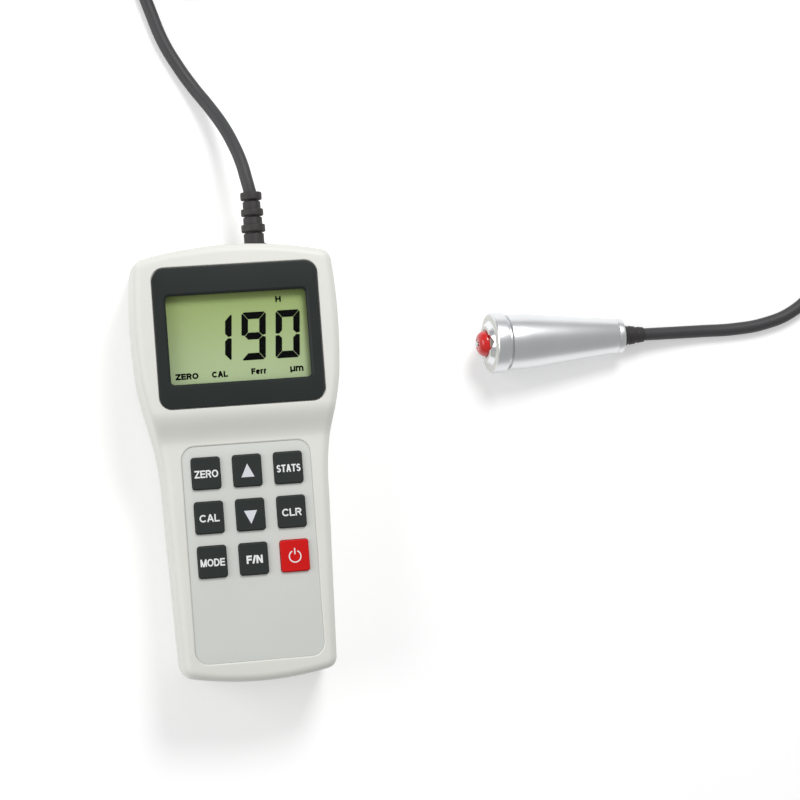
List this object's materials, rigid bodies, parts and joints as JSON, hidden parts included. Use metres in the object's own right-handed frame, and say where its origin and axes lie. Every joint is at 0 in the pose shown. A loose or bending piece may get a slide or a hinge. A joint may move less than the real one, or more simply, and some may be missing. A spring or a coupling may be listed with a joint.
{
  "type": "coating thickness gauge",
  "caption": "Handheld coating thickness gauge with a display head, a keypad grip and a spring loaded probe on a cable.",
  "frame": {"origin": "on the flat back of the case, below the middle of the case in plan", "axes": "+Z out of the display face, +Y along the case towards the cable end, +X to the right of the display"},
  "size_m": [0.252, 0.28, 0.032],
  "materials": {
    "case_plastic": "fine matte moulding, warm off-white",
    "bezel_plastic": "satin charcoal moulding",
    "lens": "clear polished window",
    "display": "green reflective display with dark segments",
    "white_plastic": "natural white moulding",
    "contact_rubber": "striped conductive silicone",
    "board": "green solder mask",
    "board_part": "black moulded packages",
    "dark_rubber": "matte dark grey rubber",
    "panel": "fine textured grey film",
    "key_plastic": "matte charcoal with white legends",
    "power_key": "matte red with a white symbol",
    "cell": "printed sleeve with bare ends",
    "plated_steel": "bright plated",
    "cable": "smooth matte dark grey jacket",
    "tie": "black woven strap",
    "probe_aluminium": "satin turned, bead-blasted faces",
    "core_steel": "turned steel tube",
    "red_nose": "glossy red moulding",
    "chrome_tip": "polished contact tip",
    "copper": "enamelled winding"
  },
  "bodies": {
    "gauge": {"front_case": "case_plastic", "rear_case": "case_plastic", "display_bezel": "bezel_plastic", "display_lens": "lens", "lcd_glass": "display", "lcd_frame": "white_plastic", "zebra_strips": "contact_rubber", "main_board": "board", "board_parts": "board_part", "probe_socket": "white_plastic", "keypad_mat": "dark_rubber", "keypad_label": "panel", "battery_1": "cell", "battery_2": "cell", "battery_3": "cell", "battery_4": "cell", "battery_springs": "plated_steel", "battery_plates": "plated_steel", "case_screws": "plated_steel", "board_screws": "plated_steel", "strain_relief": "dark_rubber", "cable_tail": "cable", "cable_run": "cable", "cable_coil": "cable", "cable_tie": "tie", "cable_lead": "cable", "probe_sleeve": "probe_aluminium", "probe_spring": "plated_steel", "probe_cap": "probe_aluminium", "probe_boot": "dark_rubber"},
    "key_zero_body": {"key_zero": "key_plastic"},
    "key_up_body": {"key_up": "key_plastic"},
    "key_stats_body": {"key_stats": "key_plastic"},
    "key_cal_body": {"key_cal": "key_plastic"},
    "key_down_body": {"key_down": "key_plastic"},
    "key_clear_body": {"key_clear": "key_plastic"},
    "key_mode_body": {"key_mode": "key_plastic"},
    "key_base_body": {"key_base": "key_plastic"},
    "key_power_body": {"key_power": "power_key"},
    "cover": {"battery_cover": "case_plastic"},
    "core": {"probe_core": "core_steel", "probe_nose": "red_nose", "contact_tip": "chrome_tip", "sensor_coil": "copper"}
  },
  "joints": [
    {"name": "key_zero_press", "type": "slide", "parent": "gauge", "child": "key_zero_body", "axis": [0, 0, -1], "range_m": [0, 0.0008], "stiffness_N_per_m": 1000},
    {"name": "key_up_press", "type": "slide", "parent": "gauge", "child": "key_up_body", "axis": [0, 0, -1], "range_m": [0, 0.0008], "stiffness_N_per_m": 1000},
    {"name": "key_stats_press", "type": "slide", "parent": "gauge", "child": "key_stats_body", "axis": [0, 0, -1], "range_m": [0, 0.0008], "stiffness_N_per_m": 1000},
    {"name": "key_cal_press", "type": "slide", "parent": "gauge", "child": "key_cal_body", "axis": [0, 0, -1], "range_m": [0, 0.0008], "stiffness_N_per_m": 1000},
    {"name": "key_down_press", "type": "slide", "parent": "gauge", "child": "key_down_body", "axis": [0, 0, -1], "range_m": [0, 0.0008], "stiffness_N_per_m": 1000},
    {"name": "key_clear_press", "type": "slide", "parent": "gauge", "child": "key_clear_body", "axis": [0, 0, -1], "range_m": [0, 0.0008], "stiffness_N_per_m": 1000},
    {"name": "key_mode_press", "type": "slide", "parent": "gauge", "child": "key_mode_body", "axis": [0, 0, -1], "range_m": [0, 0.0008], "stiffness_N_per_m": 1000},
    {"name": "key_base_press", "type": "slide", "parent": "gauge", "child": "key_base_body", "axis": [0, 0, -1], "range_m": [0, 0.0008], "stiffness_N_per_m": 1000},
    {"name": "key_power_press", "type": "slide", "parent": "gauge", "child": "key_power_body", "axis": [0, 0, -1], "range_m": [0, 0.0008], "stiffness_N_per_m": 1000},
    {"name": "cover_slide", "type": "slide", "parent": "gauge", "child": "cover", "axis": [0, -1, 0], "range_m": [0, 0.055]},
    {"name": "core_slide", "type": "slide", "parent": "gauge", "child": "core", "axis": [0.995, 0, -0.0995], "range_m": [0, 0.003], "stiffness_N_per_m": 600, "deforming": ["probe_spring"]}
  ]
}
